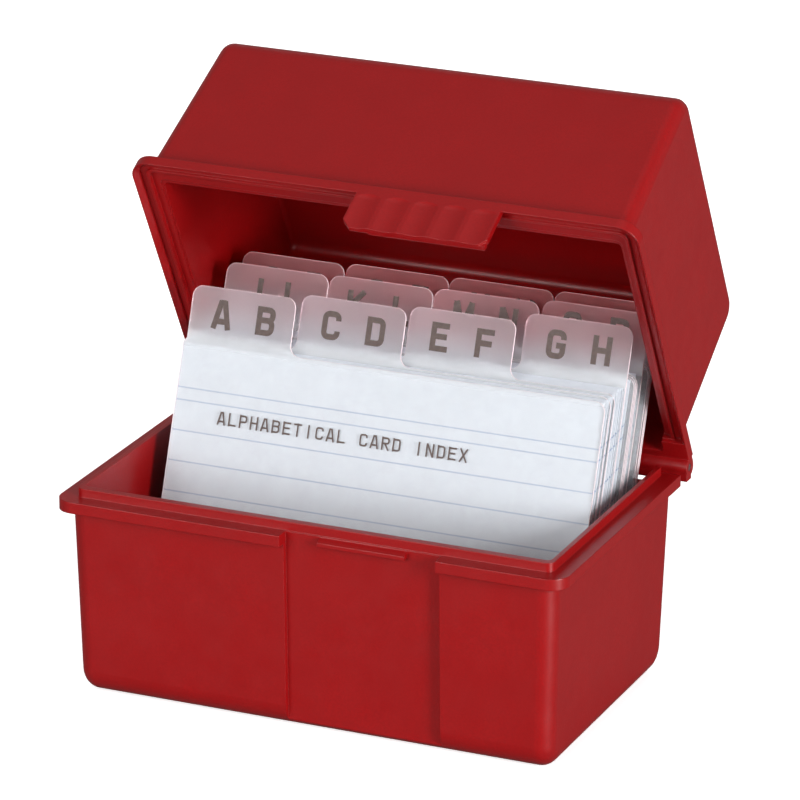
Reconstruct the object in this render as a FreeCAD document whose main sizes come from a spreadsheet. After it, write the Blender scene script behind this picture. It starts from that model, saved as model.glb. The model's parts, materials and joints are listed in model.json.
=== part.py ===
"""Card index box: a drafted plastic base and a hinged lid with a thumb tab, a steel
hinge pin, and a leaning pack of ruled cards between twelve alphabet dividers.

Frame: X to the right, Y to the back, Z up, origin in the middle of the base's
underside.  Millimetres.  The lid is modelled shut and then swung open on its hinge.
"""
import FreeCAD, Part
import math
import os

import Sketcher
from FreeCAD import Placement, Rotation, Vector

doc = FreeCAD.newDocument("card_index_box")

# ---------------------------------------------------------------- driving dimensions
SIZES = {
    # base: outside of the tub, measured at its rim plane
    "rim_height": 33.85,
    "box_width": 84.0,
    "box_depth": 52.0,
    "side_wall": 1.65,
    "front_wall": 2.5,
    "back_wall": 1.65,
    "floor_thickness": 1.6,
    "side_draft": 1.37,
    "front_draft": 1.26,
    "back_draft": 3.15,
    "corner_radius": 2.75,
    "foot_front_radius": 4.2,
    "foot_back_radius": 4.3,
    # base flange and the lip that stands on it
    "flange_side": 2.0,
    "flange_front": 1.58,
    "flange_thickness": 1.9,
    "flange_corner": 3.1,
    "flange_end": 2.4,
    "lip_height": 1.5,
    "lip_thickness": 0.8,
    "lip_front_thickness": 1.3,
    "lip_corner": 1.2,
    "lip_end": 4.1,
    # recess for the thumb tab, and the catch bead in it
    "recess_left": -4.1,
    "recess_right": 22.6,
    "recess_depth": 1.0,
    "bead_left": 1.8,
    "bead_length": 15.0,
    "bead_drop": 1.35,
    "bead_reach": 1.25,
    # lid, measured at its own rim plane
    "rim_gap": 0.1,
    "lid_side_inset": 0.15,
    "lid_front_inset": 0.47,
    "lid_back_outset": 0.46,
    "lid_height": 33.5,
    "lid_side_wall": 1.95,
    "lid_front_wall": 3.75,
    "lid_back_wall": 1.7,
    "lid_top_thickness": 1.6,
    "lid_side_draft": 1.72,
    "lid_front_draft": 0.99,
    "lid_back_draft": 2.07,
    "lid_corner_radius": 2.1,
    "lid_top_front_radius": 3.5,
    "lid_top_back_radius": 3.6,
    "inner_corner_radius": 0.8,
    "lid_flange_height": 1.85,
    "lid_flange_corner": 3.6,
    "skirt_edge": 0.15,
    "skirt_depth": 0.75,
    "channel_edge": 0.9,
    "channel_width": 1.25,
    "channel_depth": 1.25,
    "lip_clearance": 0.2,
    "mouth_step_side": 0.25,
    "mouth_step_front": 0.85,
    "mouth_step_depth": 0.3,
    # thumb tab
    "tab_left": -3.55,
    "tab_right": 21.3,
    "tab_drop": 7.45,
    "tab_thickness": 1.0,
    "tab_left_bevel": 1.5,
    "tab_right_bevel": 1.2,
    "grip_left": 1.1,
    "grip_end": 0.2,
    "grip_reach": 0.35,
    "grip_height": 1.0,
    "catch_height": 0.9,
    "flute_count": 5,
    "flute_radius": 11.0,
    "flute_depth": 0.2,
    "flute_round": 2.5,
    "flute_rise": 1.5,
    "catch_clearance": 0.05,
    # hinge
    "hinge_reach": 1.5,
    "hinge_drop": 0.05,
    "knuckle_radius": 1.55,
    "end_knuckle_length": 10.6,
    "base_knuckle_length": 14.8,
    "knuckle_gap": 0.2,
    "swing_clearance": 0.3,
    "end_notch_drop": 2.75,
    "centre_notch_drop": 1.25,
    "pin_radius": 0.6,
    "pin_clearance": 0.05,
    "pin_inset": 0.1,
    "heel_drop": 2.1,
    "heel_width": 2.0,
    "heel_clearance": 0.12,
    "open_angle": 61.4,
    # cards and dividers
    "lean_angle": 19.9,
    "pack_room": 37.3,
    "foot_gap": 0.15,
    "card_margin": 5.0,
    "card_height": 52.0,
    "card_thickness": 0.2,
    "card_gap": 0.02,
    "card_play": 0.25,
    "card_drift": 1.5,
    "divider_margin": 4.8,
    "divider_shift": 0.2,
    "divider_height": 52.3,
    "divider_thickness": 0.3,
    "divider_corner": 1.8,
    "letter_tab_height": 9.4,
    "letter_tab_inset": 0.6,
    "group_gap": 0.06,
}

sheet = doc.addObject("Spreadsheet::Sheet", "size")
for row, (alias, value) in enumerate(SIZES.items(), start=1):
    sheet.set("A%d" % row, alias)
    sheet.set("B%d" % row, str(value))
    sheet.setAlias("B%d" % row, alias)
doc.recompute()

# Places that several pieces share, as expressions of the cells above.
LID_RIM = "(size.rim_height + size.rim_gap)"
LID_TOP = "(%s + size.lid_height)" % LID_RIM
LIP_TOP = "(size.rim_height + size.lip_height)"
BASE_FRONT = "(-size.box_depth / 2)"
BASE_BACK = "(size.box_depth / 2)"
FLANGE_FRONT = "(-size.box_depth / 2 - size.flange_front)"
FLANGE_END = "(size.box_depth / 2 - size.flange_end)"
FLANGE_HALF = "(size.box_width / 2 + size.flange_side)"
LIP_END = "(size.box_depth / 2 - size.lip_end)"
FLANGE_BOTTOM = "(size.rim_height - size.flange_thickness)"
LID_FRONT = "(-size.box_depth / 2 + size.lid_front_inset)"
LID_BACK = "(size.box_depth / 2 + size.lid_back_outset)"
LID_HALF = "(size.box_width / 2 - size.lid_side_inset)"
LID_FLANGE_TOP = "(%s + size.lid_flange_height)" % LID_RIM
HINGE_Y = "(size.box_depth / 2 + size.hinge_reach)"
HINGE_Z = "(size.rim_height - size.hinge_drop)"
TAB_BACK = "(%s + size.tab_thickness)" % FLANGE_FRONT
TAB_BOTTOM = "(%s - size.tab_drop)" % LID_RIM
RECESS_FACE = "(%s + size.recess_depth)" % BASE_FRONT
BEAD_FACE = "(%s - size.bead_reach)" % RECESS_FACE
PACK_FRONT = "(size.box_depth / 2 - size.pack_room)"
CARD_WIDTH = "(size.box_width - 2 * size.card_margin)"
DIVIDER_WIDTH = "(size.box_width - 2 * size.divider_margin)"

# Cuts run past the surface they open by this much, or by a skin where they must stop.
OVERCUT = 1.0
SKIN = 0.001

# Each card lies a little further round this angle, in radians, in its sideways play.
SWAY_STEP = 2.4

# How many cards stand behind each alphabet divider, from the front of the pack.
CARD_COUNTS = {"ab": 9, "cd": 6, "ef": 17, "gh": 16, "ij": 1, "kl": 1,
               "mn": 6, "op": 12, "qr": 2, "st": 0, "uv": 0, "wz": 9}
TAB_COLUMNS = 4

PLANES = {
    "XY": Rotation(),
    "XZ": Rotation(Vector(1, 0, 0), 90),
    "YZ": Rotation(Vector(1, 1, 1), 120),
}


# ---------------------------------------------------------------- small helpers
def value_of(expression):
    """The present value of an expression of the sheet's cells, as a number."""
    return float(sheet.evalExpression(expression))


def bind(thing, **expressions):
    """Bind properties of an object to expressions; returns the object."""
    for name, expression in expressions.items():
        thing.setExpression(name, str(expression))
    return thing


def place(thing, x="0", y="0", z="0"):
    """Bind the three coordinates of an object's placement."""
    thing.setExpression("Placement.Base.x", str(x))
    thing.setExpression("Placement.Base.y", str(y))
    thing.setExpression("Placement.Base.z", str(z))
    return thing


def draw_polygon(sketch, corners):
    """Close a polygon through corners, each a pair of expressions bound as distances."""
    spots = [(value_of(across), value_of(up)) for across, up in corners]
    count = len(corners)
    for index in range(count):
        start = Vector(*spots[index], 0)
        end = Vector(*spots[(index + 1) % count], 0)
        sketch.addGeometry(Part.LineSegment(start, end), False)
    for index in range(count):
        following = (index + 1) % count
        sketch.addConstraint(Sketcher.Constraint("Coincident", index, 2, following, 1))
    for index, corner in enumerate(corners):
        for kind, expression in zip(("DistanceX", "DistanceY"), corner):
            distance = value_of(expression)
            number = sketch.addConstraint(
                Sketcher.Constraint(kind, -1, 1, index, 1, distance))
            sketch.setExpression("Constraints[%d]" % number, expression)


def prism(name, plane, corners, length, start):
    """Extrude a polygon drawn on one of the main planes.

    It runs along +X from start for a YZ polygon, along +Y for an XZ one and along +Z
    for an XY one.
    """
    sketch = doc.addObject("Sketcher::SketchObject", name + "_outline")
    sketch.Placement = Placement(Vector(), PLANES[plane])
    draw_polygon(sketch, corners)
    run = doc.addObject("Part::Extrusion", name)
    run.Base = sketch
    run.DirMode = "Normal"
    run.Solid = True
    run.Reversed = plane == "XZ"
    bind(run, LengthFwd=length)
    moved = {"YZ": "x", "XZ": "y", "XY": "z"}[plane]
    place(run, **{moved: start})
    return run


def block(name, x, y, z):
    """A box from three pairs of expressions: its low and high end along each axis."""
    box = doc.addObject("Part::Box", name)
    bind(box, Length="%s - (%s)" % (x[1], x[0]), Width="%s - (%s)" % (y[1], y[0]),
         Height="%s - (%s)" % (z[1], z[0]))
    return place(box, x[0], y[0], z[0])


def rod(name, radius, x, y, z):
    """A cylinder along X between two expressions, on the line y, z."""
    cylinder = doc.addObject("Part::Cylinder", name)
    cylinder.Placement = Placement(Vector(), Rotation(Vector(0, 1, 0), 90))
    bind(cylinder, Radius=radius, Height="%s - (%s)" % (x[1], x[0]))
    return place(cylinder, x[0], y, z)


def rod_upright(name, radius, x, y, z):
    """A cylinder that stands between two heights."""
    cylinder = doc.addObject("Part::Cylinder", name)
    bind(cylinder, Radius=radius, Height="%s - (%s)" % (z[1], z[0]))
    return place(cylinder, x, y, z[0])


def fuse(name, *shapes):
    whole = doc.addObject("Part::MultiFuse", name)
    whole.Shapes = list(shapes)
    whole.Refine = True
    return whole


def cut(name, base, *tools):
    """Take every tool away from base, and make sure that each of them bites."""
    left = base
    for number, tool in enumerate(tools, start=1):
        doc.recompute()
        before = left.Shape.Volume
        taken = doc.addObject("Part::Cut", "%s_%d" % (name, number))
        taken.Base = left
        taken.Tool = tool
        taken.Refine = True
        doc.recompute()
        if taken.Shape.Volume >= before:
            raise RuntimeError("%s takes nothing from %s" % (tool.Name, left.Name))
        left = taken
    left.Label = name
    return left


def round_edges(name, base, wanted, radius):
    """Fillet the edges that wanted(edge) picks; radius is an expression."""
    doc.recompute()
    rounded = doc.addObject("Part::Fillet", name)
    rounded.Base = base
    size_of_round = value_of(radius)
    rounded.Edges = [(number, size_of_round, size_of_round)
                     for number, edge in enumerate(base.Shape.Edges, start=1)
                     if wanted(edge)]
    doc.recompute()
    return rounded


def near(first, second):
    return abs(first - second) < 1e-4


def upright(edge):
    """Whether an edge runs mostly along Z."""
    low = edge.Vertexes[0].Point
    high = edge.Vertexes[-1].Point
    return abs(high.z - low.z) > 5 * math.hypot(high.x - low.x, high.y - low.y)


# ---------------------------------------------------------------- moulded tubs
def tub(name, rim, far, mouth, half_width, front, back, drafts, radii):
    """A drafted, rounded tub shape that narrows from its rim plane to its far plane.

    rim, far and mouth are heights: the sizes are measured at rim, and the shape runs
    from far to mouth.  drafts are those of the sides, front and back.  radii are those
    of the far front edge, the far back edge, and the loop round each side.
    """
    deeper = 1 if value_of(rim) > value_of(far) else -1
    side_draft, front_draft, back_draft = drafts
    front_radius, back_radius, loop_radius = radii

    def inset(height, draft):
        return "(%s - %s) * %d * tan(size.%s * 1deg)" % (rim, height, deeper, draft)

    def across(height):
        return "(%s - %s)" % (half_width, inset(height, side_draft))

    def front_at(height):
        return "(%s + %s)" % (front, inset(height, front_draft))

    def back_at(height):
        return "(%s - %s)" % (back, inset(height, back_draft))

    side_view = prism(name + "_side_view", "YZ",
                      [(front_at(far), far), (back_at(far), far),
                       (back_at(mouth), mouth), (front_at(mouth), mouth)],
                      "2 * (%s + %g)" % (half_width, OVERCUT),
                      "-(%s) - %g" % (half_width, OVERCUT))
    front_view = prism(name + "_front_view", "XZ",
                       [("-" + across(far), far), (across(far), far),
                        (across(mouth), mouth), ("-" + across(mouth), mouth)],
                       "%s - %s + %g" % (back, front, 2 * OVERCUT),
                       "%s - %g" % (front, OVERCUT))
    crossing = doc.addObject("Part::MultiCommon", name + "_sharp")
    crossing.Shapes = [side_view, front_view]

    far_z = value_of(far)
    mouth_z = value_of(mouth)
    middle_y = (value_of(front) + value_of(back)) / 2

    def far_edge(edge, at_front):
        ends = [vertex.Point for vertex in edge.Vertexes]
        if not all(near(end.z, far_z) for end in ends) or near(ends[0].x, ends[1].x):
            return False
        return (ends[0].y < middle_y) == at_front

    def side_loop(edge):
        ends = [vertex.Point for vertex in edge.Vertexes]
        return ends[0].x * ends[-1].x > 0 and not all(near(end.z, mouth_z) for end in ends)

    shape = round_edges(name + "_front_round", crossing,
                        lambda edge: far_edge(edge, True), front_radius)
    shape = round_edges(name + "_back_round", shape,
                        lambda edge: far_edge(edge, False), back_radius)
    return round_edges(name + "_tub", shape, side_loop, loop_radius)


def rounded_plate(name, x, y, z, radius):
    """A block whose front two upright edges are rounded."""
    plate = block(name + "_block", x, y, z)
    middle = (value_of(y[0]) + value_of(y[1])) / 2
    return round_edges(name, plate,
                       lambda edge: upright(edge) and edge.CenterOfMass.y < middle, radius)


# ---------------------------------------------------------------- base box
BASE_DRAFTS = ("side_draft", "front_draft", "back_draft")


def base_shell():
    """The drafted tub with its flange and lip, hollowed from above."""
    outside = tub("base_outside", "size.rim_height", "0 * size.rim_height",
                  "size.rim_height", "size.box_width / 2", BASE_FRONT, BASE_BACK,
                  BASE_DRAFTS, ("size.foot_front_radius", "size.foot_back_radius",
                                "size.corner_radius"))
    flange = rounded_plate("base_flange",
                           ("-" + FLANGE_HALF, FLANGE_HALF), (FLANGE_FRONT, FLANGE_END),
                           (FLANGE_BOTTOM, "size.rim_height"), "size.flange_corner")
    half_width = "(size.box_width / 2 - size.side_wall)"
    lip_side = "(%s + size.lip_thickness)" % half_width
    inner_front = "(%s + size.front_wall)" % BASE_FRONT
    lip = rounded_plate("base_lip", ("-" + lip_side, lip_side),
                        (inner_front + " - size.lip_front_thickness", LIP_END),
                        ("size.rim_height - size.lip_thickness", LIP_TOP),
                        "size.lip_corner")
    cavity = tub("base_inside", "size.rim_height", "size.floor_thickness",
                 "%s + %g" % (LIP_TOP, OVERCUT), half_width, inner_front,
                 "(%s - size.back_wall)" % BASE_BACK, BASE_DRAFTS,
                 ("size.foot_front_radius - size.floor_thickness",
                  "size.foot_back_radius - size.floor_thickness",
                  "size.inner_corner_radius"))
    return cut("base_hollow", fuse("base_solid", outside, flange, lip), cavity)


def base_recess():
    """The shallow full-height recess in the front that the lid's thumb tab drops into."""
    face_below = "(%s + (size.rim_height + %g) * tan(size.front_draft * 1deg))" % (
        RECESS_FACE, OVERCUT)
    ahead = "(%s - %g)" % (FLANGE_FRONT, OVERCUT)
    rim = "(size.rim_height + %g)" % SKIN
    return prism("tab_recess", "YZ",
                 [(ahead, "-%g" % OVERCUT), (face_below, "-%g" % OVERCUT),
                  (RECESS_FACE, rim), (ahead, rim)],
                 "size.recess_right - size.recess_left", "size.recess_left")


def catch_bead():
    """The bead in the recess that the thumb tab's catch snaps under; its top slopes."""
    root = "(%s + size.recess_depth / 2)" % RECESS_FACE
    low = "(size.rim_height - size.bead_drop)"
    return prism("catch_bead", "YZ",
                 [(BEAD_FACE, low), (root, low), (root, "size.rim_height"),
                  (BEAD_FACE, "size.rim_height - size.bead_drop / 2")],
                 "size.bead_length", "size.bead_left")


def knuckle(name, x, web_y, web_z):
    """A hinge barrel and the web that ties it to its wall."""
    barrel = rod(name + "_barrel", "size.knuckle_radius", x, HINGE_Y, HINGE_Z)
    return fuse(name, barrel, block(name + "_web", x, web_y, web_z))


def make_base():
    shell = cut("base_recessed", base_shell(), base_recess())
    web_y = ("%s - size.back_wall / 2" % BASE_BACK, HINGE_Y)
    web_z = ("%s - size.knuckle_radius" % HINGE_Z, HINGE_Z)
    wall_y = ("%s - size.back_wall - %g" % (BASE_BACK, OVERCUT),
              "%s + %g" % (BASE_BACK, OVERCUT))
    notches = [block("base_middle_notch", ("-" + BASE_KNUCKLE[0], BASE_KNUCKLE[0]), wall_y,
                     ("size.rim_height - size.centre_notch_drop",
                      "size.rim_height + %g" % OVERCUT))]
    knuckles = []
    for side, hand in SIDES:
        knuckles.append(knuckle("base_knuckle_" + side, on_side(hand, BASE_KNUCKLE),
                                web_y, web_z))
        beyond = (BASE_KNUCKLE[1], "%s + %g" % (FLANGE_HALF, OVERCUT))
        notches.append(block("base_notch_" + side, on_side(hand, beyond), wall_y,
                             ("size.rim_height - size.end_notch_drop",
                              "size.rim_height + %g" % OVERCUT)))
    notched = cut("base_notched", shell, *notches)
    whole = fuse("base_whole", notched, catch_bead(), *knuckles)
    return cut("base_box", whole, hinge_bore("base_bore"))


# ---------------------------------------------------------------- hinge
SIDES = [("left", -1), ("right", 1)]

# Where the knuckles lie along the hinge, on the right hand half: low and high end.
END_KNUCKLE = ("(%s - size.end_knuckle_length)" % FLANGE_HALF, FLANGE_HALF)
BASE_KNUCKLE = ("(%s - size.knuckle_gap - size.base_knuckle_length)" % END_KNUCKLE[0],
                "(%s - size.knuckle_gap)" % END_KNUCKLE[0])
MIDDLE_KNUCKLE = ("-(%s - size.knuckle_gap)" % BASE_KNUCKLE[0],
                  "(%s - size.knuckle_gap)" % BASE_KNUCKLE[0])


def on_side(hand, span):
    """A span along X, mirrored when hand is -1."""
    return span if hand > 0 else ("-" + span[1], "-" + span[0])


def hinge_bore(name):
    reach = "(%s + %g)" % (FLANGE_HALF, OVERCUT)
    return rod(name, "size.pin_radius + size.pin_clearance", ("-" + reach, reach),
               HINGE_Y, HINGE_Z)


def make_pin():
    reach = "(%s - size.pin_inset)" % FLANGE_HALF
    return rod("hinge_pin", "size.pin_radius", ("-" + reach, reach), HINGE_Y, HINGE_Z)


def swing(angle):
    """The turn of the lid about the hinge by an angle in degrees, positive to shut it."""
    centre = Vector(0, value_of(HINGE_Y), value_of(HINGE_Z))
    return Placement(Vector(), Rotation(Vector(1, 0, 0), angle), centre)


# ---------------------------------------------------------------- lid
LID_DRAFTS = ("lid_side_draft", "lid_front_draft", "lid_back_draft")


def lid_shell():
    """The lid's tub and flange with their hollow, rim hollows and lip groove, shut."""
    outside = tub("lid_outside", LID_RIM, LID_TOP, LID_RIM, LID_HALF,
                  LID_FRONT, LID_BACK, LID_DRAFTS,
                  ("size.lid_top_front_radius", "size.lid_top_back_radius",
                   "size.lid_corner_radius"))
    flange = rounded_plate("lid_flange", ("-" + FLANGE_HALF, FLANGE_HALF),
                           (FLANGE_FRONT, LID_BACK), (LID_RIM, LID_FLANGE_TOP),
                           "size.lid_flange_corner")
    below = "%s - %g" % (LID_RIM, OVERCUT)
    inner_half = "(%s - size.lid_side_wall)" % LID_HALF
    inner_front = "(%s + size.lid_front_wall)" % LID_FRONT
    cavity = tub("lid_inside", LID_RIM, LID_TOP + " - size.lid_top_thickness", below,
                 inner_half, inner_front, "(%s - size.lid_back_wall)" % LID_BACK,
                 LID_DRAFTS, ("size.lid_top_front_radius - size.lid_top_thickness",
                              "size.lid_top_back_radius - size.lid_top_thickness",
                              "size.inner_corner_radius"))
    groove_side = ("(size.box_width / 2 - size.side_wall + size.lip_thickness"
                   " + size.lip_clearance)")
    lip_front = "(%s + size.front_wall - size.lip_front_thickness)" % BASE_FRONT
    groove = rounded_plate("lip_groove", ("-" + groove_side, groove_side),
                           (lip_front + " - size.lip_clearance",
                            LIP_END + " + size.lip_clearance"),
                           (below, "%s + size.lip_clearance" % LIP_TOP),
                           "size.lip_corner + size.lip_clearance")
    step_side = "(%s + size.mouth_step_side)" % inner_half
    step = rounded_plate("mouth_step", ("-" + step_side, step_side),
                         (inner_front + " - size.mouth_step_front",
                          LIP_END + " - size.lip_clearance"),
                         (below, "%s + size.lip_clearance + size.mouth_step_depth"
                          % LIP_TOP),
                         "size.inner_corner_radius + size.mouth_step_side")
    return cut("lid_hollow", fuse("lid_solid", outside, flange), cavity, skirt_pocket(),
               rim_channel(), groove, step)


def skirt_pocket():
    """The hollow under the lid's flange, whose sloping side leaves a thin rim edge."""
    side = "(%s - size.skirt_edge)" % FLANGE_HALF
    plate = rounded_plate("skirt_plate", ("-" + side, side),
                          ("%s + size.skirt_edge" % FLANGE_FRONT,
                           LIP_END + " + 2 * size.lip_clearance"),
                          ("%s - %g" % (LID_RIM, OVERCUT),
                           "%s + size.skirt_depth" % LID_RIM),
                          "size.lid_flange_corner - size.skirt_edge")
    doc.recompute()
    top = value_of("%s + size.skirt_depth" % LID_RIM)
    back = value_of(LIP_END + " + 2 * size.lip_clearance")
    slope = value_of("size.skirt_depth")
    pocket = doc.addObject("Part::Chamfer", "skirt_pocket")
    pocket.Base = plate
    pocket.Edges = [(number, slope, slope)
                    for number, edge in enumerate(plate.Shape.Edges, start=1)
                    if all(near(end.Z, top) for end in edge.Vertexes)
                    and not all(near(end.Y, back) for end in edge.Vertexes)]
    return pocket


def rim_channel():
    """The channel sunk in the skirt pocket's floor, along the flange's front and sides."""
    rings = []
    for name, inset in (("channel_outer", "size.channel_edge"),
                        ("channel_inner", "(size.channel_edge + size.channel_width)")):
        side = "(%s - %s)" % (FLANGE_HALF, inset)
        back = LIP_END + " + 2 * size.lip_clearance"
        if rings:
            back += " + %g" % OVERCUT
        rings.append(rounded_plate(name, ("-" + side, side),
                                   ("%s + %s" % (FLANGE_FRONT, inset), back),
                                   (LID_RIM, "%s + size.channel_depth" % LID_RIM),
                                   "size.lid_flange_corner - " + inset))
    return cut("rim_channel", *rings)


def thumb_tab():
    """The fluted tab that hangs from the lid's front rim, bevelled at its lower corners."""
    plate = prism("tab_plate", "XZ",
                  [("size.tab_left", LID_FLANGE_TOP),
                   ("size.tab_left", TAB_BOTTOM + " + size.tab_left_bevel"),
                   ("size.tab_left + size.tab_left_bevel", TAB_BOTTOM),
                   ("size.tab_right - size.tab_right_bevel", TAB_BOTTOM),
                   ("size.tab_right", TAB_BOTTOM + " + size.tab_right_bevel"),
                   ("size.tab_right", LID_FLANGE_TOP)],
                  "size.tab_thickness", FLANGE_FRONT)
    grip = block("tab_grip", ("size.grip_left", "size.tab_right - size.grip_end"),
                 (TAB_BACK + " - size.tab_thickness / 2", TAB_BACK + " + size.grip_reach"),
                 (TAB_BOTTOM, TAB_BOTTOM + " + size.grip_height"))
    catch_top = "(size.rim_height - size.bead_drop - size.rim_gap)"
    catch = block("tab_catch", ("size.bead_left", "size.bead_left + size.bead_length"),
                  (TAB_BACK + " - size.tab_thickness / 2",
                   BEAD_FACE + " - size.catch_clearance"),
                  (catch_top + " - size.catch_height", catch_top))
    flutes = [tab_flute(number) for number in range(int(value_of("size.flute_count")))]
    return cut("tab_fluted", fuse("tab_solid", plate, grip, catch), *flutes)


def tab_flute(number):
    """One shallow finger flute: an upright cylinder whose top edge is rounded over."""
    step = "(size.tab_right - size.tab_left) / size.flute_count"
    barrel = rod_upright("flute_barrel_%d" % (number + 1), "size.flute_radius",
                         "size.tab_left + %g * %s" % (number + 0.5, step),
                         FLANGE_FRONT + " - size.flute_radius + size.flute_depth",
                         ("%s - %g" % (TAB_BOTTOM, OVERCUT),
                          "%s + size.flute_rise" % LID_RIM))
    top = value_of("%s + size.flute_rise" % LID_RIM)
    return round_edges("tab_flute_%d" % (number + 1), barrel,
                       lambda edge: near(edge.CenterOfMass.z, top), "size.flute_round")


def stop_heel(name, x):
    """The heel on a lid knuckle that meets the base's back wall when the lid is open."""
    heel = doc.addObject("Part::Box", name)
    bind(heel, Length="%s - (%s)" % (x[1], x[0]), Width="size.heel_width",
         Height="size.heel_drop")
    corner = Vector(value_of(x[0]), value_of(BASE_BACK + " + size.heel_clearance"),
                    value_of(HINGE_Z + " - size.heel_drop"))
    heel.Placement = swing(value_of("size.open_angle")) * Placement(corner, Rotation())
    return heel


def make_lid():
    web_y = (LID_BACK + " - size.lid_back_wall / 2", HINGE_Y)
    web_z = (LID_RIM, HINGE_Z + " + size.knuckle_radius")
    spans = [("middle", MIDDLE_KNUCKLE)]
    notches = []
    between = (MIDDLE_KNUCKLE[1], END_KNUCKLE[0])
    for side, hand in SIDES:
        spans.append((side, on_side(hand, END_KNUCKLE)))
        notches.append(block("lid_notch_" + side, on_side(hand, between),
                             ("%s - size.lid_back_wall - %g" % (LID_BACK, OVERCUT),
                              HINGE_Y),
                             ("%s - %g" % (LID_RIM, OVERCUT),
                              HINGE_Z + " + size.knuckle_radius + size.swing_clearance")))
    fittings = [thumb_tab()]
    for side, span in spans:
        fittings.append(knuckle("lid_knuckle_" + side, span, web_y, web_z))
        fittings.append(stop_heel("lid_heel_" + side, span))
    whole = fuse("lid_whole", cut("lid_notched", lid_shell(), *notches), *fittings)
    lid = cut("lid", whole, hinge_bore("lid_bore"))
    lid.Placement = swing(-value_of("size.open_angle"))
    return lid


# ---------------------------------------------------------------- cards and dividers
def depth_in_pack(dividers, cards):
    """How far behind the front divider a sheet lies, square to the leaning pack."""
    return ("(%d * (size.divider_thickness + size.card_gap + size.group_gap)"
            " + %d * (size.card_thickness + size.card_gap))" % (dividers, cards))


def stand(thing, depth, x="0"):
    """Lean a sheet back and stand its foot on the floor at its depth in the pack."""
    thing.Placement = Placement(Vector(), Rotation(Vector(-1, 0, 0),
                                                   value_of("size.lean_angle")))
    thing.setExpression("Placement.Rotation.Angle", "size.lean_angle * 1deg")
    return place(thing, x, "%s + %s / cos(size.lean_angle * 1deg)" % (PACK_FRONT, depth),
                 "size.floor_thickness + size.foot_gap")


def divider_corners(column):
    """The outline of a divider with its letter tab in one of the columns."""
    left = "(size.divider_shift - %s / 2)" % DIVIDER_WIDTH
    right = "(size.divider_shift + %s / 2)" % DIVIDER_WIDTH
    pitch = "((%s - size.letter_tab_inset) / %d)" % (DIVIDER_WIDTH, TAB_COLUMNS)
    tab_left = "(%s + size.letter_tab_inset + %d * %s)" % (left, column, pitch)
    tab_right = "(%s + size.letter_tab_inset + %d * %s)" % (left, column + 1, pitch)
    foot = "size.divider_height * 0"
    shoulder = "size.divider_height"
    top = "(size.divider_height + size.letter_tab_height)"
    corners = [(left, foot), (right, foot)]
    if column < TAB_COLUMNS - 1:
        corners += [(right, shoulder), (tab_right, shoulder), (tab_right, top)]
    else:
        corners += [(right, top)]
    corners += [(tab_left, top)]
    if column > 0:
        corners += [(tab_left, shoulder)]
    else:
        corners += [(tab_left, shoulder + " + size.letter_tab_inset")]
    return corners + [(left, shoulder)]


def make_divider(letters, column, depth):
    """One alphabet divider: a thin sheet with a round-cornered letter tab."""
    body = doc.addObject("PartDesign::Body", "divider_" + letters)
    plane = [feature for feature in body.Origin.OriginFeatures
             if feature.Role == "XZ_Plane"][0]
    sketch = body.newObject("Sketcher::SketchObject", "divider_outline_" + letters)
    sketch.AttachmentSupport = [(plane, "")]
    sketch.MapMode = "FlatFace"
    draw_polygon(sketch, divider_corners(column))
    pad = body.newObject("PartDesign::Pad", "divider_sheet_" + letters)
    pad.Profile = sketch
    pad.Reversed = True
    bind(pad, Length="size.divider_thickness")
    doc.recompute()
    shoulder = value_of("size.divider_height")
    top = value_of("size.divider_height + size.letter_tab_height")
    ledge = value_of("size.letter_tab_inset")
    left = value_of("size.divider_shift - %s / 2" % DIVIDER_WIDTH)
    rounded = []
    for number, edge in enumerate(pad.Shape.Edges, start=1):
        start, end = [vertex.Point for vertex in edge.Vertexes]
        at_top = near(start.z, top)
        at_shoulder = near(start.z, shoulder) and start.x > left + ledge
        if near(start.x, end.x) and near(start.z, end.z) and (at_top or at_shoulder):
            rounded.append("Edge%d" % number)
    corners = body.newObject("PartDesign::Fillet", "divider_rounds_" + letters)
    corners.Base = (pad, rounded)
    bind(corners, Radius="size.divider_corner")
    body.Tip = corners
    return stand(body, depth)


def make_cards(letters, count, dividers, cards_before):
    """The ruled cards behind one divider, each a little to one side.

    The further back a card stands, the further it has drifted to the left.
    """
    cards = []
    for index in range(count):
        card = doc.addObject("Part::Box", "card_%s_%d" % (letters, index + 1))
        bind(card, Length=CARD_WIDTH, Width="size.card_thickness",
             Height="size.card_height")
        depth = "(%s + size.divider_thickness + size.card_gap)" % depth_in_pack(
            dividers, cards_before + index)
        sway = math.sin((cards_before + index + 1) * SWAY_STEP)
        drift = ((cards_before + index) / sum(CARD_COUNTS.values())) ** 2
        cards.append(stand(card, depth, "%.3f * size.card_play - %.3f * size.card_drift"
                           " - %s / 2" % (sway, drift, CARD_WIDTH)))
    group = doc.addObject("Part::Compound", "cards_" + letters)
    group.Links = cards
    return group


# ---------------------------------------------------------------- the whole box
nodes = {"base_box": make_base(), "lid": make_lid(), "hinge_pin": make_pin()}
cards_before = 0
for number, (letters, count) in enumerate(CARD_COUNTS.items()):
    nodes["divider_" + letters] = make_divider(
        letters, number % TAB_COLUMNS, depth_in_pack(number, cards_before))
    if count:
        nodes["cards_" + letters] = make_cards(letters, count, number, cards_before)
    cards_before += count
doc.recompute()

for thing in doc.Objects:
    if "Invalid" in thing.State or "Error" in thing.State:
        raise RuntimeError("%s failed: %s" % (thing.Name, thing.State))
for name, node in nodes.items():
    if node.Shape.isNull() or not node.Shape.isValid():
        raise RuntimeError("%s has no valid shape" % name)
    node.Label = name

os.makedirs("parts", exist_ok=True)
for name, node in nodes.items():
    node.Shape.exportStep("parts/%s.step" % name)
    print("%-12s %9.1f mm3  %d solids" % (name, node.Shape.Volume, len(node.Shape.Solids)))
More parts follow.
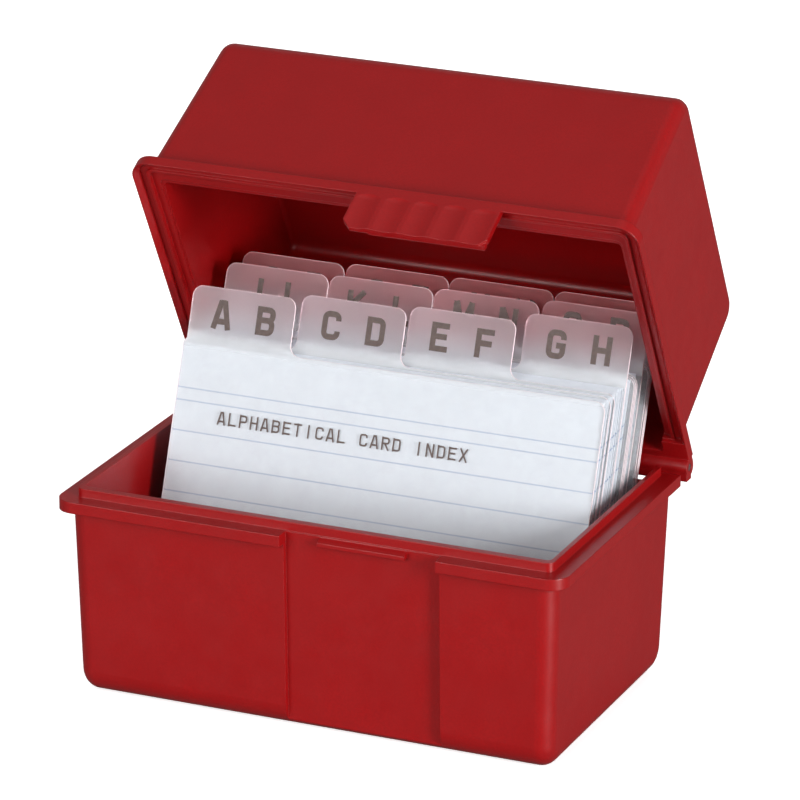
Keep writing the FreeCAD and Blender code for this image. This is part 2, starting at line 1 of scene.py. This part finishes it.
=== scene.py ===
"""Looks of the card index box: red moulded plastic, frosted alphabet dividers with
their letters, ruled white cards and a steel hinge pin, on a plain pale floor."""
import json
import math

import bpy
from mathutils import Matrix, Vector

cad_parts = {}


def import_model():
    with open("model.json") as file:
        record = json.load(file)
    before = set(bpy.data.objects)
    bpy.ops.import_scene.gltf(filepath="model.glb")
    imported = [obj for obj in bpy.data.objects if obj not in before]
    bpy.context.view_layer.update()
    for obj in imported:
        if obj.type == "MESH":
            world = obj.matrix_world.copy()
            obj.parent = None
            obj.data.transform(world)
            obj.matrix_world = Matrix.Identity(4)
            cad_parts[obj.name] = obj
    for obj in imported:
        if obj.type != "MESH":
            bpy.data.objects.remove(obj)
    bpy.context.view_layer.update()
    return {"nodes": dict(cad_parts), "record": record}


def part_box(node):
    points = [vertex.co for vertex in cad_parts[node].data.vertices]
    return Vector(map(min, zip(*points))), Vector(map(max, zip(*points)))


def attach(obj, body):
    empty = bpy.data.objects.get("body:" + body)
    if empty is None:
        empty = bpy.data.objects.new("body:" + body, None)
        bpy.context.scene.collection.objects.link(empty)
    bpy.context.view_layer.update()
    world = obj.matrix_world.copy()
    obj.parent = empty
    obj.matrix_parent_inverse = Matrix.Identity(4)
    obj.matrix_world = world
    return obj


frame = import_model()
nodes = frame["nodes"]

MM = 0.001

# ---------------------------------------------------------------- the pack's geometry
LEAN = math.radians(19.9)                 # how far the sheets lean back
UP_SHEET = Vector((0, math.sin(LEAN), math.cos(LEAN)))
BACK_OF_SHEET = Vector((0, math.cos(LEAN), -math.sin(LEAN)))
LETTER_TAB_HEIGHT = 9.4 * MM
FIRST_RULE = 42.7 * MM                    # height of the main rules' top line on a card
RULE_PITCH = 5.0 * MM
HEADER_RULE = 44.75 * MM
RULE_WIDTH = 0.24 * MM
RULE_INK = 0.66                           # how far a rule covers the paper
RULE_FADE = (0.35 * RULE_WIDTH, 0.65 * RULE_WIDTH)   # where a rule's ink gives out
EDGE_ROUND = 0.2 * MM                     # how far moulded edges are rounded over
FILM_HIGHLIGHT_WIDTH = 0.28 * MM                  # width of the painted highlight line round a divider
PACK_DEPTH = (-11 * MM, 8.5 * MM)         # from the front divider to the last, across; the painted red glow deepens over it
TAB_FOOT = (50 * MM, 53 * MM)             # heights at which a sheet turns into its tab
RED_GLOW_FOOT = (52 * MM, 57 * MM)           # heights at which the tabs' painted red glow sets in

# ---------------------------------------------------------------- the view
TARGET = Vector((1.99, 0.12, 48.35)) * MM
AZIMUTH = math.radians(23.82)
ELEVATION = math.radians(19.88)
DISTANCE = 871.4 * MM
LENS = 244.8
SENSOR_WIDTH = 36
SHIFT_X = 0.0183
CLIP_END = 20


def colour(red, green, blue):
    """A linear colour from 0-255 screen values."""
    def linear(value):
        value /= 255
        return value / 12.92 if value <= 0.04045 else ((value + 0.055) / 1.055) ** 2.4
    return linear(red), linear(green), linear(blue), 1.0


def grey(value):
    """A linear grey from 0 to 1."""
    return value, value, value, 1.0


# ---------------------------------------------------------------- material helpers
NOISE_RANGE = (0.3, 0.7)                  # most of a noise lies between these values
BEVEL_SAMPLES = 6


class Shader:
    """A node material with short ways to add and join nodes."""

    def __init__(self, name):
        self.material = bpy.data.materials.new(name)
        self.material.use_nodes = True
        self.nodes = self.material.node_tree.nodes
        self.links = self.material.node_tree.links
        self.surface = self.nodes["Principled BSDF"]
        self.place = self.add("ShaderNodeTexCoord").outputs["Object"]

    def add(self, kind, inputs=None, **settings):
        """A new node with its inputs fed and its settings made."""
        node = self.nodes.new(kind)
        for name, value in settings.items():
            setattr(node, name, value)
        for name, value in (inputs or {}).items():
            self.feed(node.inputs[name], value)
        return node

    def feed(self, socket, value):
        """Join a socket to another, or give it a value."""
        if isinstance(value, bpy.types.NodeSocket):
            self.links.new(value, socket)
        else:
            socket.default_value = value

    def set(self, **values):
        """Set the shader's own sockets; underscores stand for spaces."""
        for name, value in values.items():
            self.feed(self.surface.inputs[name.replace("_", " ")], value)

    def math(self, operation, first, second=0.0):
        """One sum on one or two values."""
        return self.add("ShaderNodeMath", {0: first, 1: second},
                        operation=operation).outputs[0]

    def noise(self, size, detail, stretch=None):
        """Noise with features of about this size in metres, from 0 to 1."""
        place = self.place
        if stretch:
            place = self.add("ShaderNodeVectorMath", {0: place, 1: stretch},
                             operation="MULTIPLY").outputs[0]
        return self.add("ShaderNodeTexNoise", {"Vector": place, "Scale": 1 / size,
                                               "Detail": detail}).outputs["Fac"]

    def spread(self, value, low, high, to_low=0.0, to_high=1.0):
        """Map a value's range onto another, without going past its ends."""
        return self.add("ShaderNodeMapRange", {"Value": value, "From Min": low,
                                               "From Max": high, "To Min": to_low,
                                               "To Max": to_high}).outputs["Result"]

    def patches(self, size, detail, low=0.0, high=1.0):
        """Noise with features of about this size, spread over a range."""
        return self.spread(self.noise(size, detail), *NOISE_RANGE, low, high)

    def mix(self, factor, first, second):
        """The first colour where the factor is 0, the second where it is 1."""
        node = self.add("ShaderNodeMix", data_type="RGBA")
        self.feed(node.inputs["Factor"], factor)
        self.feed(node.inputs[6], first)
        self.feed(node.inputs[7], second)
        return node.outputs[2]

    def bump(self, height, distance, onto=None):
        """A normal that follows a height, on its own or on top of another normal."""
        inputs = {"Height": height, "Distance": distance}
        if onto:
            inputs["Normal"] = onto
        return self.add("ShaderNodeBump", inputs).outputs["Normal"]

    def softened(self, radius):
        """The surface normal with its edges rounded over by a radius."""
        return self.add("ShaderNodeBevel", {"Radius": radius},
                        samples=BEVEL_SAMPLES).outputs["Normal"]

    def dot(self, first, second):
        """The scalar product of two vectors."""
        return self.add("ShaderNodeVectorMath", {0: first, 1: second},
                        operation="DOT_PRODUCT").outputs["Value"]

    def axis(self, name):
        """One coordinate of the place on the object, in metres."""
        return self.add("ShaderNodeSeparateXYZ", {0: self.place}).outputs[name]


# ---------------------------------------------------------------- materials
def red_plastic():
    """Injection moulded red polystyrene: a satin skin with a fine even grain."""
    shader = Shader("red_plastic")
    skin = shader.mix(shader.patches(9 * MM, 3), colour(144, 6, 9), colour(152, 7, 10))
    shader.set(Base_Color=shader.mix(shader.patches(0.35 * MM, 2), skin,
                                     colour(138, 6, 9)))
    shader.set(Roughness=shader.patches(4 * MM, 3, 0.3, 0.36))
    grain = shader.bump(shader.noise(0.45 * MM, 3), 0.012 * MM,
                        onto=shader.softened(EDGE_ROUND))
    waves = shader.bump(shader.noise(14 * MM, 1), 0.04 * MM, onto=grain)
    shader.set(Normal=waves, IOR=1.45)
    return shader.material


def rule(shader, offset):
    """1 on a rule and 0 beside it, from the place across the rule."""
    return shader.spread(shader.math("ABSOLUTE", offset), *RULE_FADE, 1.0, 0.0)


def card_stock():
    """White card with a header rule and the evenly spaced main rules below it."""
    shader = Shader("card_stock")
    fibre = shader.noise(1.2 * MM, 4)
    paper = shader.mix(shader.spread(fibre, *NOISE_RANGE), colour(218, 223, 230),
                       colour(211, 217, 225))
    foot = min(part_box(name)[0][2] for name in nodes if name.startswith("divider_"))
    height = shader.math("DIVIDE", shader.math("SUBTRACT", shader.axis("Z"), foot),
                         math.cos(LEAN))
    ruled = shader.math("LESS_THAN", height, FIRST_RULE + RULE_PITCH / 2)
    nearest = shader.math("PINGPONG", shader.math("SUBTRACT", FIRST_RULE, height),
                          RULE_PITCH / 2)
    main_rules = shader.math("MULTIPLY", rule(shader, nearest), ruled)
    header = rule(shader, shader.math("SUBTRACT", HEADER_RULE, height))
    ink = shader.math("MULTIPLY", shader.math("MAXIMUM", main_rules, header), RULE_INK)
    shader.set(Base_Color=shader.mix(ink, paper, colour(104, 136, 176)))
    shader.set(Normal=shader.bump(fibre, 0.01 * MM), Roughness=0.8)
    return shader.material


CUT_FACING = (0.85, 0.97)                 # from a cut edge to a face, by its normal
HIGHLIGHT_BEND = (0.75, 0.97)               # from the painted highlight to a face, by its bend
HIGHLIGHT_SHARE = 0.8                       # of a cut edge's brightness, for the painted highlight
PANEL_OPACITY = 0.22
PANEL_CLOUD = 0.02                        # how far the opacity wanders
EDGE_OPACITY = 0.9
TAB_FROST = 0.86                          # share of its light that a tab lets through


def divider_film():
    """Milky polypropylene sheet: see-through on its faces, with a painted highlight at
    its cut edges and a painted red glow on its tabs.
    """
    shader = Shader("divider_film")
    normal = shader.add("ShaderNodeTexCoord").outputs["Normal"]
    facing = shader.math("ABSOLUTE", shader.dot(normal, tuple(BACK_OF_SHEET)))
    cut = shader.spread(facing, *CUT_FACING, 1.0, 0.0)
    # Painted highlight: the cut faces, and a band beside them found by the bevel, are
    # made nearly opaque and pale, standing in for light caught by the cut edges.
    true_normal = shader.add("ShaderNodeNewGeometry").outputs["Normal"]
    flatness = shader.dot(shader.softened(FILM_HIGHLIGHT_WIDTH), true_normal)
    painted_edge_highlight = shader.spread(flatness, *HIGHLIGHT_BEND, HIGHLIGHT_SHARE, 0.0)
    cut_edge_and_highlight = shader.math("MAXIMUM", cut, painted_edge_highlight)
    height = shader.axis("Z")
    tab = shader.spread(height, *TAB_FOOT)
    milky = shader.math("ADD", shader.spread(tab, 0.0, 1.0, PANEL_OPACITY, 1.0),
                        shader.patches(6 * MM, 3, -PANEL_CLOUD, PANEL_CLOUD))
    shader.set(Alpha=shader.math("MAXIMUM", milky,
                                 shader.math("MULTIPLY", cut_edge_and_highlight, EDGE_OPACITY)))
    frost = shader.math("MULTIPLY", tab, shader.spread(cut_edge_and_highlight, 0.0, 1.0, TAB_FROST, 0.0))
    shader.set(Transmission_Weight=frost, IOR=1.3)
    # Painted red glow: the tabs are tinted pink, more so the deeper they stand in the
    # pack, standing in for red light bounced from the lid's inside.
    depth = shader.dot(shader.place, tuple(BACK_OF_SHEET))
    deeper_glow = shader.math("POWER", shader.spread(depth, *PACK_DEPTH), 2.0)
    painted_red_glow = shader.mix(deeper_glow, colour(234, 219, 223), colour(230, 138, 142))
    milk_and_glow = shader.mix(shader.spread(height, *RED_GLOW_FOOT), colour(230, 233, 236), painted_red_glow)
    # The cut edges and their painted highlight take a pale pink-white.
    shader.set(Base_Color=shader.mix(cut_edge_and_highlight, milk_and_glow, colour(250, 232, 236)))
    shader.set(Roughness=shader.patches(2 * MM, 3, 0.5, 0.6))
    shader.set(Normal=shader.bump(shader.noise(0.3 * MM, 2), 0.01 * MM))
    return shader.material


def steel():
    """Drawn wire with fine lines along it."""
    shader = Shader("hinge_steel")
    drawn = shader.noise(0.25 * MM, 3, stretch=(0.05, 1, 1))
    shader.set(Base_Color=shader.mix(drawn, colour(150, 150, 154),
                                     colour(196, 196, 200)))
    shader.set(Roughness=shader.spread(drawn, *NOISE_RANGE, 0.25, 0.4), Metallic=1.0)
    shader.set(Normal=shader.bump(drawn, 0.01 * MM))
    return shader.material


def letter_ink():
    """Warm grey print on the letter tabs."""
    shader = Shader("letter_ink")
    worn = shader.spread(shader.noise(0.5 * MM, 3), 0.35, 0.65)
    shader.set(Base_Color=shader.mix(worn, colour(78, 62, 58), colour(92, 76, 70)))
    shader.set(Roughness=0.6, Normal=shader.bump(worn, 0.005 * MM))
    return shader.material


def dress(node, material):
    """Give a node of the solid model one material."""
    mesh = nodes[node].data
    mesh.materials.clear()
    mesh.materials.append(material)


def dress_all():
    """Give every node of the solid model its material, chosen by the node's name."""
    red, card, film, pin = red_plastic(), card_stock(), divider_film(), steel()
    for name in nodes:
        if name.startswith("divider_"):
            dress(name, film)
        elif name.startswith("cards_"):
            dress(name, card)
        elif name == "hinge_pin":
            dress(name, pin)
        else:
            dress(name, red)


dress_all()
INK = letter_ink()


# ---------------------------------------------------------------- letters
# Strokes of a bold condensed alphabet in a box WIDE wide and 1 high. A stroke is a run
# of points; a three-number point rounds that corner with its third number.
WIDE = 0.7
LEFT, RIGHT, MID = 0.1, WIDE - 0.1, WIDE / 2
LOW, HIGH, HALF = 0.1, 0.9, 0.5
CURVE = 0.19
TIGHT = 0.17                              # where two bends follow close on each other
BOWL = [(RIGHT, 0.68), (RIGHT, HIGH, CURVE), (LEFT, HIGH, CURVE), (LEFT, LOW, CURVE),
        (RIGHT, LOW, CURVE)]
STEM = [(LEFT, 0), (LEFT, 1)]
GLYPHS = {
    "A": [[(0.07, 0), (MID - 0.06, 1)], [(MID + 0.06, 1), (WIDE - 0.07, 0)],
          [(MID - 0.1, 0.93), (MID + 0.1, 0.93)], [(0.17, 0.27), (WIDE - 0.17, 0.27)]],
    "B": [STEM,
          [(LEFT, HIGH), (RIGHT, HIGH, TIGHT), (RIGHT, 0.53, TIGHT), (LEFT, 0.53)],
          [(LEFT, 0.53), (RIGHT, 0.53, CURVE), (RIGHT, LOW, CURVE), (LEFT, LOW)]],
    "C": [BOWL + [(RIGHT, 0.32)]],
    "D": [STEM,
          [(LEFT, HIGH), (RIGHT, HIGH, CURVE), (RIGHT, LOW, CURVE), (LEFT, LOW)]],
    "E": [STEM, [(LEFT, HIGH), (WIDE - 0.04, HIGH)],
          [(LEFT, LOW), (WIDE - 0.04, LOW)], [(LEFT, 0.52), (WIDE - 0.1, 0.52)]],
    "F": [STEM, [(LEFT, HIGH), (WIDE - 0.04, HIGH)],
          [(LEFT, HALF), (WIDE - 0.1, HALF)]],
    "G": [BOWL + [(RIGHT, 0.46), (MID, 0.46)]],
    "H": [STEM, [(RIGHT, 0), (RIGHT, 1)], [(LEFT, HALF), (RIGHT, HALF)]],
    "I": [[(MID, 0), (MID, 1)]],
    "J": [[(RIGHT - 0.05, 1), (RIGHT - 0.05, LOW, CURVE), (0.12, LOW, CURVE),
           (0.12, 0.3)]],
    "K": [STEM, [(WIDE - 0.08, 1), (LEFT, 0.4)], [(0.27, 0.58), (WIDE - 0.08, 0)]],
    "L": [[(LEFT, 1), (LEFT, 0)], [(LEFT, LOW), (WIDE - 0.04, LOW)]],
    "M": [[(0.06, 0), (0.06, 1)], [(0.06, 1), (MID, 0.25), (WIDE - 0.06, 1)],
          [(WIDE - 0.06, 1), (WIDE - 0.06, 0)]],
    "N": [STEM, [(LEFT, 0.98), (RIGHT, 0.02)], [(RIGHT, 0), (RIGHT, 1)]],
    "O": [[(MID, HIGH), (LEFT, HIGH, CURVE), (LEFT, LOW, CURVE), (RIGHT, LOW, CURVE),
           (RIGHT, HIGH, CURVE), (MID, HIGH)]],
    "P": [STEM,
          [(LEFT, HIGH), (RIGHT, HIGH, CURVE), (RIGHT, 0.46, CURVE), (LEFT, 0.46)]],
    "R": [STEM,
          [(LEFT, HIGH), (RIGHT, HIGH, CURVE), (RIGHT, HALF, CURVE), (LEFT, HALF)],
          [(0.3, HALF), (RIGHT + 0.02, 0)]],
    "S": [[(RIGHT, 0.72), (RIGHT, HIGH, TIGHT), (LEFT, HIGH, TIGHT),
           (LEFT, 0.56, TIGHT), (RIGHT, 0.46, TIGHT), (RIGHT, LOW, TIGHT),
           (LEFT, LOW, TIGHT), (LEFT, 0.28)]],
    "T": [[(MID, 0), (MID, 1)], [(0.04, HIGH), (WIDE - 0.04, HIGH)]],
    "U": [[(LEFT, 1), (LEFT, LOW, CURVE), (RIGHT, LOW, CURVE), (RIGHT, 1)]],
    "V": [[(0.06, 1), (MID, 0), (WIDE - 0.06, 1)]],
    "W": [[(-0.05, 1), (0.13, 0), (MID, 0.8), (WIDE - 0.13, 0), (WIDE + 0.05, 1)]],
    "X": [[(0.07, 0), (WIDE - 0.07, 1)], [(0.07, 1), (WIDE - 0.07, 0)]],
    "Z": [[(0.06, HIGH), (WIDE - 0.06, HIGH)], [(WIDE - 0.1, 0.94), (0.1, 0.06)],
          [(0.06, LOW), (WIDE - 0.06, LOW)]],
}
GLYPHS["Q"] = GLYPHS["O"] + [[(0.34, 0.3), (WIDE - 0.04, -0.02)]]
LETTER_HEIGHT = 4.7 * MM
LETTER_DROP = 2.05 * MM                   # from the tab's top down to the letter's top
STROKE = 0.2                              # of a letter's height
# Each letter's centre from the tab's middle, in millimetres.
LETTER_PLACES = {"IJ": (-2.8, 1.2), "KL": (-4.1, 4.0), "MN": (-3.8, 4.1),
                 "OP": (-3.9, 4.3), "WZ": (-3.6, 4.2)}
USUAL_PLACES = (-3.55, 4.3)
# Tabs whose letters are printed a little higher, in millimetres.
LETTER_RISES = {"MN": 0.45, "OP": 0.7}
CORNER_STEPS = 6
SAME_POINT = 1e-5
NARROWEST_MITRE = 0.5                     # a sharp corner's mitre is at most 1 / this
INK_PROUD = 0.015 * MM                    # between a sheet's front and its ink
INK_LAYER = 0.002 * MM                    # between crossing strokes of a letter
CAPTION_HEIGHT = 2.2 * MM
CAPTION_STROKE = 0.13
CAPTION_PITCH = 1.95 * MM
CAPTION_LEFT = -28.3 * MM
CAPTION_UP = 38.4 * MM


def toward(here, other, reach):
    """The point this far from here to another point, or that point if it is nearer."""
    way = other - here
    return here + way.normalized() * min(reach, way.length)


def rounded(points):
    """The run with its rounded corners as short arcs."""
    run = []
    for index, point in enumerate(points):
        here = Vector(point[:2])
        if len(point) < 3:
            run.append(here)
            continue
        start = toward(here, Vector(points[index - 1][:2]), point[2])
        end = toward(here, Vector(points[index + 1][:2]), point[2])
        for step in range(CORNER_STEPS + 1):
            along = step / CORNER_STEPS
            run.append((1 - along) ** 2 * start + 2 * along * (1 - along) * here
                       + along ** 2 * end)
    return [spot for index, spot in enumerate(run)
            if index == 0 or (spot - run[index - 1]).length > SAME_POINT]


def ribbon(points, width):
    """Left and right sides of a stroke with mitred corners."""
    run = rounded(points)
    sides = []
    for index, spot in enumerate(run):
        first = (spot - run[index - 1]).normalized() if index else None
        second = (run[index + 1] - spot).normalized() if index + 1 < len(run) else None
        ways = [way for way in (first, second) if way is not None]
        normals = [Vector((-way.y, way.x)) for way in ways]
        across = sum(normals, Vector((0, 0))).normalized()
        mitre = across.dot(normals[0])
        half = across * width / 2 * (1 / max(NARROWEST_MITRE, mitre))
        sides.append((spot + half, spot - half))
    return sides


def letter_mesh(placed, centre, height, stroke_width, name):
    """Letters, each at its place across from a point on a leaning sheet's front."""
    vertices, faces = [], []
    for letter, offset in placed:
        for layer, stroke in enumerate(GLYPHS[letter]):
            sides = ribbon(stroke, stroke_width)
            plane = centre - BACK_OF_SHEET * layer * INK_LAYER
            first = len(vertices)
            for pair in sides:
                for flat in pair:
                    across = (flat.x - WIDE / 2) * height + offset
                    up = (flat.y - HALF) * height
                    vertices.append(plane + Vector((across, 0, 0)) + UP_SHEET * up)
            for number in range(len(sides) - 1):
                corner = first + 2 * number
                faces.append((corner, corner + 1, corner + 3, corner + 2))
    mesh = bpy.data.meshes.new(name)
    mesh.from_pydata([tuple(vertex) for vertex in vertices], [], faces)
    mesh.materials.append(INK)
    piece = bpy.data.objects.new(name, mesh)
    bpy.context.scene.collection.objects.link(piece)
    return piece


def sheet_front(node, x, up):
    """The point just before a divider's front face, this far across and up it."""
    front = min(vertex.co.dot(BACK_OF_SHEET) for vertex in nodes[node].data.vertices)
    return Vector((x, 0, 0)) + UP_SHEET * up + BACK_OF_SHEET * (front - INK_PROUD)


def tab_centre(node):
    """The middle of the letters on a divider's tab, from the node's own vertices."""
    points = [vertex.co for vertex in nodes[node].data.vertices]
    top = max(point.dot(UP_SHEET) for point in points)
    on_tab = [point.x for point in points
              if point.dot(UP_SHEET) > top - LETTER_TAB_HEIGHT / 2]
    middle = (min(on_tab) + max(on_tab)) / 2
    return sheet_front(node, middle, top - LETTER_DROP - LETTER_HEIGHT / 2)


def body_holding(node):
    """The moving body that a node belongs to."""
    for body, held in frame["record"]["behaviour"]["bodies"].items():
        if node in held:
            return body
    return "box"


def print_on(node, piece):
    """Let a printed piece belong to its divider and move with it."""
    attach(piece, body_holding(node))


def tab_letters(node):
    """The pair of letters on a divider's tab."""
    letters = node.split("_")[1].upper()
    places = LETTER_PLACES.get(letters, USUAL_PLACES)
    placed = [(letter, place * MM) for letter, place in zip(letters, places)]
    centre = tab_centre(node) + UP_SHEET * LETTER_RISES.get(letters, 0) * MM
    print_on(node, letter_mesh(placed, centre, LETTER_HEIGHT, STROKE,
                               "letters_" + letters.lower()))


def caption(node, words):
    """A generic line of small capitals across a divider."""
    placed = [(letter, number * CAPTION_PITCH) for number, letter in enumerate(words)
              if letter != " "]
    start = sheet_front(node, CAPTION_LEFT, CAPTION_UP)
    print_on(node, letter_mesh(placed, start, CAPTION_HEIGHT, CAPTION_STROKE,
                               "caption"))


for name in sorted(nodes):
    if name.startswith("divider_"):
        tab_letters(name)
caption("divider_ab", "ALPHABETICAL CARD INDEX")


# ---------------------------------------------------------------- studio
# The plastic mirrors a dim room, so gloss shows only this share of the white.
GLOSSY_SHARE = 0.04
WHITE = grey(1)
ROOM_LIGHT = 0.22                         # the world's strength beside the background
FLOOR_SIZE = 6
FLOOR_GREY = 0.95                         # where the background is white
FLOOR_BOUNCE = 0.4                        # for light on its way to the box
FLOOR_DARK = 0.1                          # for the rest
FLOOR_GLOW = 0.58                         # what lifts the floor to the world's white
LAMP_AIM = Vector((0, 0, 0.045))


def background_rays(tree):
    """How much of the white background a kind of ray shows, from 0 to 1."""
    path = tree.nodes.new("ShaderNodeLightPath")
    most = path.outputs["Is Camera Ray"]
    for kind, share in (("Is Transmission Ray", 1.0), ("Is Glossy Ray", GLOSSY_SHARE)):
        part = tree.nodes.new("ShaderNodeMath")
        part.operation = "MULTIPLY"
        tree.links.new(path.outputs[kind], part.inputs[0])
        part.inputs[1].default_value = share
        node = tree.nodes.new("ShaderNodeMath")
        node.operation = "MAXIMUM"
        tree.links.new(most, node.inputs[0])
        tree.links.new(part.outputs[0], node.inputs[1])
        most = node.outputs[0]
    return most


def floor():
    """A plain pale floor, white where the camera looks, that keeps the shadow."""
    bpy.ops.mesh.primitive_plane_add(size=FLOOR_SIZE, location=(0, 0, 0))
    plane = bpy.context.object
    plane.name = "floor"
    shader = Shader("floor_white")
    tree = shader.material.node_tree
    share = background_rays(tree)
    bounce = shader.add("ShaderNodeLightPath").outputs["Is Diffuse Ray"]
    unseen = shader.mix(bounce, grey(FLOOR_DARK), grey(FLOOR_BOUNCE))
    shader.set(Base_Color=shader.mix(share, unseen, grey(FLOOR_GREY)), Roughness=1.0)
    shader.set(Emission_Color=WHITE,
               Emission_Strength=shader.math("MULTIPLY", share, FLOOR_GLOW))
    plane.data.materials.append(shader.material)


def world():
    """White where the camera looks, a soft even light elsewhere."""
    sky = bpy.data.worlds.new("studio")
    bpy.context.scene.world = sky
    sky.use_nodes = True
    tree = sky.node_tree
    background = tree.nodes["Background"]
    background.inputs["Color"].default_value = WHITE
    blend = tree.nodes.new("ShaderNodeMapRange")
    blend.inputs["To Min"].default_value = ROOM_LIGHT
    tree.links.new(background_rays(tree), blend.inputs["Value"])
    tree.links.new(blend.outputs["Result"], background.inputs["Strength"])


def softbox(name, place, power, size, diffuse=True, glossy=True):
    """A flat lamp of some watts that looks at the box, out of the camera's sight.

    It can leave out the light that spreads off surfaces, or the one they mirror."""
    light = bpy.data.lights.new(name, "AREA")
    light.energy = power
    light.shape = "RECTANGLE"
    light.size, light.size_y = size
    lamp = bpy.data.objects.new(name, light)
    lamp.location = place
    lamp.visible_camera = False
    lamp.visible_diffuse = diffuse
    lamp.visible_glossy = glossy
    way = LAMP_AIM - Vector(place)
    lamp.rotation_euler = way.to_track_quat("-Z", "Y").to_euler()
    bpy.context.scene.collection.objects.link(lamp)


def camera():
    """A long lens to the right of the front, a little above the box."""
    back = Vector((math.sin(AZIMUTH) * math.cos(ELEVATION),
                   -math.cos(AZIMUTH) * math.cos(ELEVATION), math.sin(ELEVATION)))
    right = Vector((math.cos(AZIMUTH), math.sin(AZIMUTH), 0))
    up = back.cross(right)
    data = bpy.data.cameras.new("camera")
    data.lens = LENS
    data.sensor_width = SENSOR_WIDTH
    data.shift_x = SHIFT_X
    data.clip_end = CLIP_END
    eye = bpy.data.objects.new("camera", data)
    turn = Matrix((right, up, back)).transposed().to_4x4()
    eye.matrix_world = Matrix.Translation(TARGET + back * DISTANCE) @ turn
    bpy.context.scene.collection.objects.link(eye)
    bpy.context.scene.camera = eye


floor()
world()
softbox("key", (-0.35, -1.1, 0.38), 10, (0.8, 0.6))
softbox("fill", (1.05, -0.45, 0.3), 15, (0.3, 0.6))
softbox("top", (0.0, -0.1, 1.2), 1, (1.0, 0.6))
softbox("glint", (0.3, -0.13, 0.03), 0.8, (0.05, 0.06), diffuse=False)
softbox("back", (-0.45, 1.05, 0.45), 8, (0.8, 0.6), glossy=False)
camera()
bpy.context.scene.view_settings.view_transform = "Standard"
